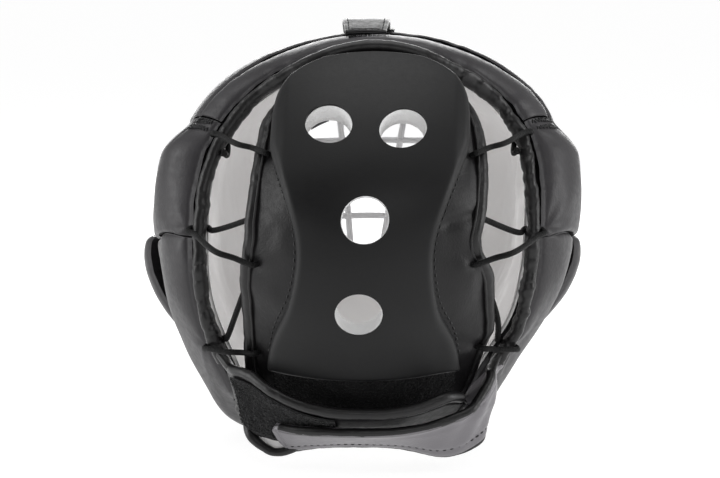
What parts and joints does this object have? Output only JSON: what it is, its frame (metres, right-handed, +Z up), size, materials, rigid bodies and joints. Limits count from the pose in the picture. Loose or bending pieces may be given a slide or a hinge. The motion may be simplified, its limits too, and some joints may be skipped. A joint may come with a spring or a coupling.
{
  "type": "martial arts headgear with grille",
  "caption": "Padded black headgear with a wire face grille, chin guard, laced back panel with round vents, crown tab and overlapping neck straps.",
  "frame": {"origin": "on the surface the headgear stands on, under the middle of its box", "axes": "+Z up, +Y towards the face and the grille, +X towards the wearer's right-hand side as seen from behind"},
  "size_m": [0.2546, 0.2538, 0.2402],
  "materials": {
    "black_leather": "soft semi-gloss artificial leather",
    "black_edge": "gathered soft edge",
    "matte_foam": "matte moulded foam",
    "white_lining": "smooth padded lining",
    "fuzzy_loop": "fuzzy hook and loop",
    "elastic_cord": "braided elastic",
    "pale_wire": "pale coated wire"
  },
  "bodies": {
    "root": {"brow_pad": "black_leather", "crown_front_pad": "black_leather", "crown_rear_pad": "black_leather", "front_temple_left": "black_leather", "front_temple_right": "black_leather", "temple_left": "black_leather", "temple_right": "black_leather", "cheek_left": "black_leather", "cheek_right": "black_leather", "jaw_left": "black_leather", "jaw_right": "black_leather", "chin_guard": "black_leather", "back_panel": "black_leather", "neck_strap_right": "black_leather", "neck_strap_left": "black_leather", "crown_tab": "black_leather", "grille_tab_brow_left": "black_leather", "grille_tab_brow_right": "black_leather", "grille_tab_chin_left": "black_leather", "grille_tab_chin_right": "black_leather", "rear_binding": "black_edge", "face_binding": "black_edge", "chin_binding": "black_edge", "rim_binding": "black_edge", "back_binding_left": "black_edge", "back_binding_right": "black_edge", "back_pad": "matte_foam", "hood_lining": "white_lining", "chin_lining": "white_lining", "back_loop": "fuzzy_loop", "strap_loop": "fuzzy_loop", "crown_loop": "fuzzy_loop", "lace_left": "elastic_cord", "lace_right": "elastic_cord", "grille": "pale_wire"}
  },
  "joints": []
}
